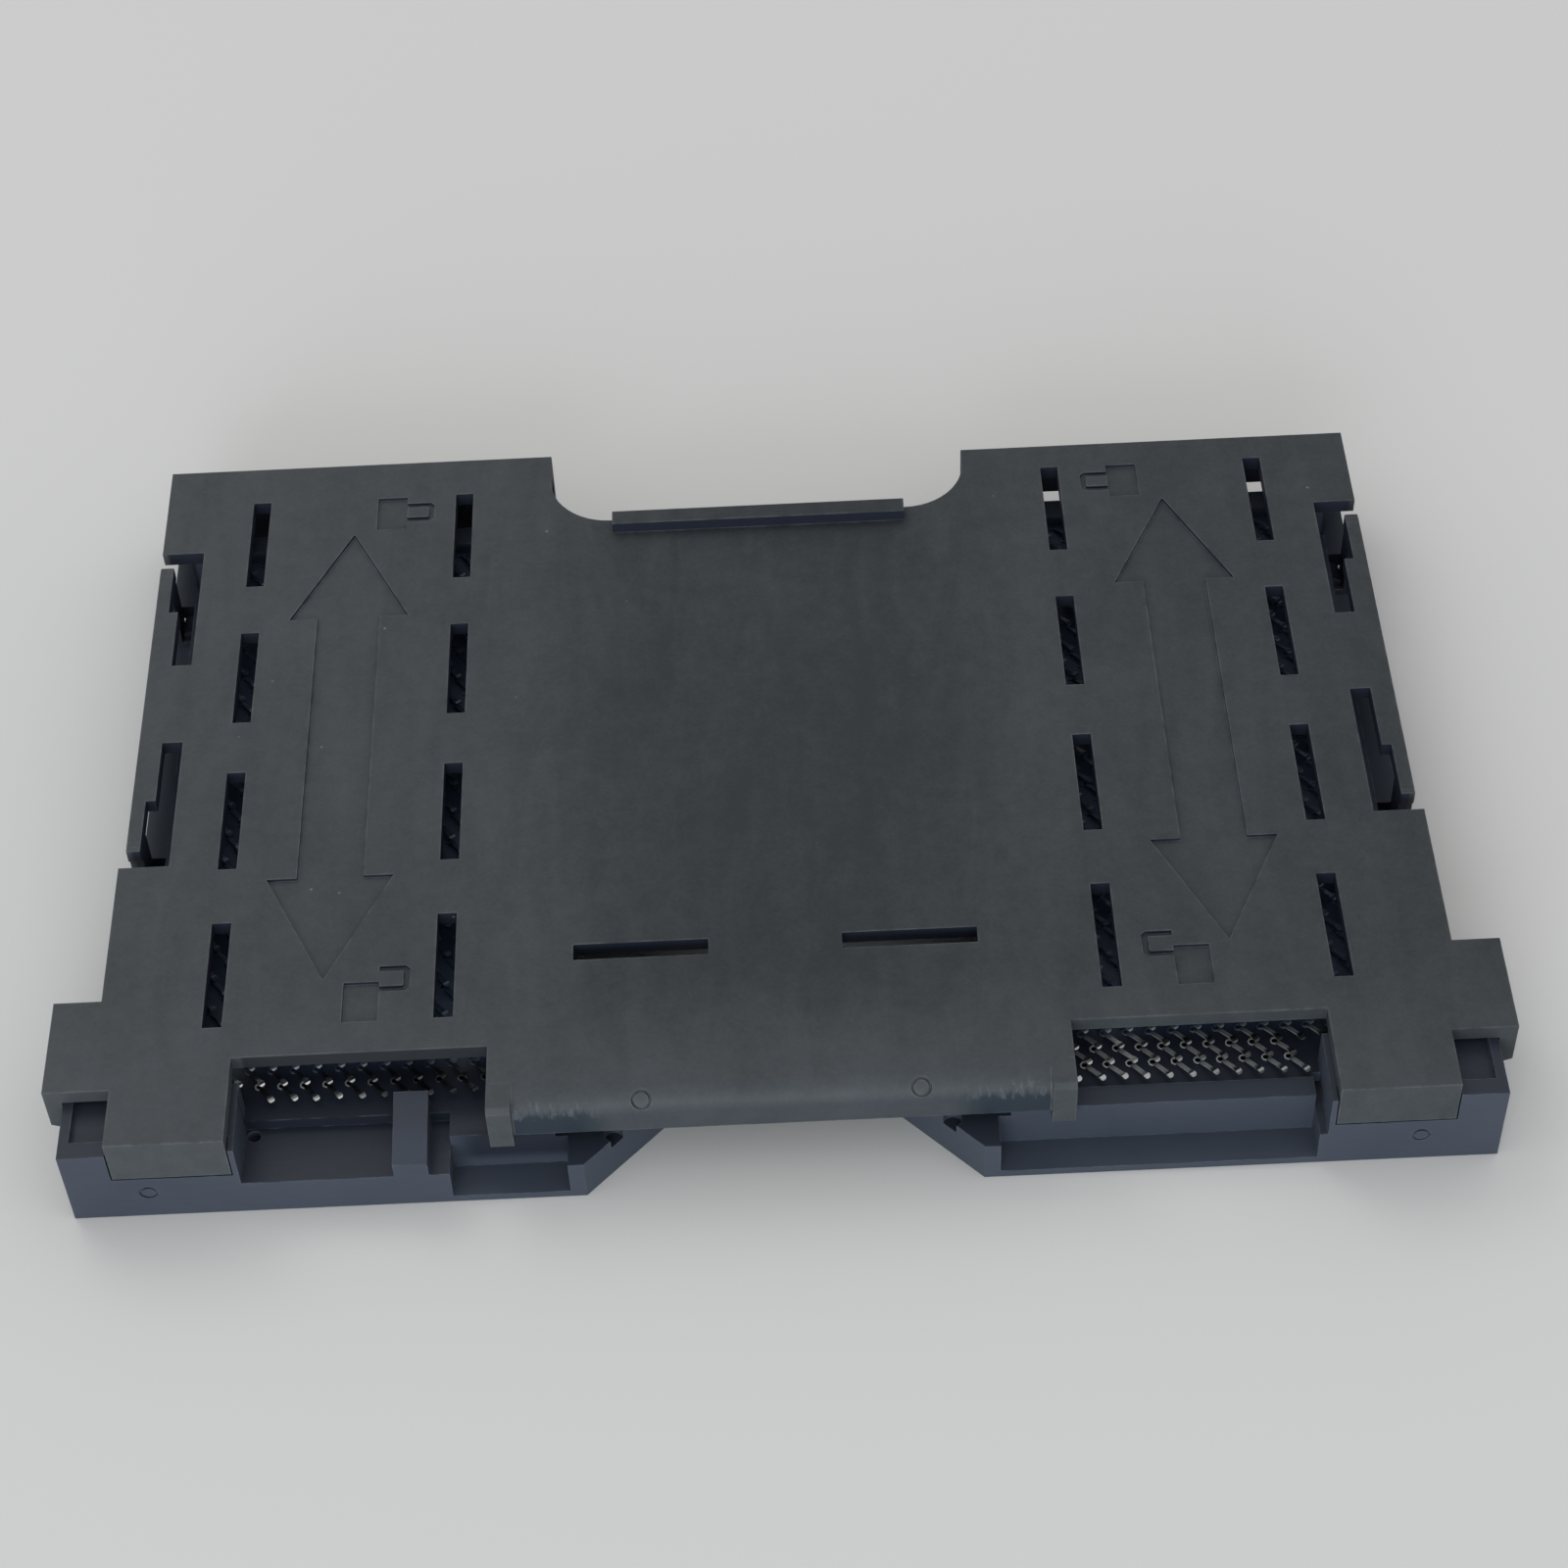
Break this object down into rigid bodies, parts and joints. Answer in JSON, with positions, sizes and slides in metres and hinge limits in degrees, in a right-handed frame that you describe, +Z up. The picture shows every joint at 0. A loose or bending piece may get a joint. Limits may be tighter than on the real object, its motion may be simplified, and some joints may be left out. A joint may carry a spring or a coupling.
{
  "type": "ic socket",
  "caption": "Half of a land grid array processor socket: a C-shaped moulded housing with leaning spring contacts, solder balls below and a sliding pick-up cap on top.",
  "frame": {"origin": "middle of the part's box, on the plane of the board it stands on", "axes": "+X along the seam face, +Y from the seam face to the rear, +Z up from the board"},
  "size_m": [0.0636, 0.0416, 0.0058],
  "materials": {
    "housing_plastic": "moulded, satin, near-black blue grey",
    "cap_plastic": "moulded, matt, charcoal with faint flow streaks",
    "contact_metal": "plated copper alloy, bright at the tips",
    "solder": "dull bright solder"
  },
  "bodies": {
    "housing": {"housing": "housing_plastic", "contact_row_01": "contact_metal", "contact_row_02": "contact_metal", "contact_row_03": "contact_metal", "contact_row_04": "contact_metal", "contact_row_05": "contact_metal", "contact_row_06": "contact_metal", "contact_row_07": "contact_metal", "contact_row_08": "contact_metal", "contact_row_09": "contact_metal", "contact_row_10": "contact_metal", "contact_row_11": "contact_metal", "contact_row_12": "contact_metal", "contact_row_13": "contact_metal", "contact_row_14": "contact_metal", "contact_row_15": "contact_metal", "contact_row_16": "contact_metal", "contact_row_17": "contact_metal", "contact_row_18": "contact_metal", "contact_row_19": "contact_metal", "contact_row_20": "contact_metal", "contact_row_21": "contact_metal", "contact_row_22": "contact_metal", "contact_row_23": "contact_metal", "contact_row_24": "contact_metal", "contact_row_25": "contact_metal", "contact_row_26": "contact_metal", "contact_row_27": "contact_metal", "contact_row_28": "contact_metal", "contact_row_29": "contact_metal", "contact_row_30": "contact_metal", "contact_row_31": "contact_metal", "contact_row_32": "contact_metal", "contact_row_33": "contact_metal", "contact_row_34": "contact_metal", "contact_row_35": "contact_metal", "contact_row_36": "contact_metal", "contact_row_37": "contact_metal", "contact_row_38": "contact_metal", "contact_row_39": "contact_metal", "contact_row_40": "contact_metal", "solder_balls_01": "solder", "solder_balls_02": "solder", "solder_balls_03": "solder", "solder_balls_04": "solder", "solder_balls_05": "solder", "solder_balls_06": "solder", "solder_balls_07": "solder", "solder_balls_08": "solder", "solder_balls_09": "solder", "solder_balls_10": "solder", "solder_balls_11": "solder", "solder_balls_12": "solder", "solder_balls_13": "solder", "solder_balls_14": "solder"},
    "cap": {"cap": "cap_plastic"}
  },
  "joints": [
    {"name": "cap_slide", "type": "slide", "parent": "housing", "child": "cap", "axis": [0, -1, 0], "range_m": [0, 0.0012]}
  ]
}
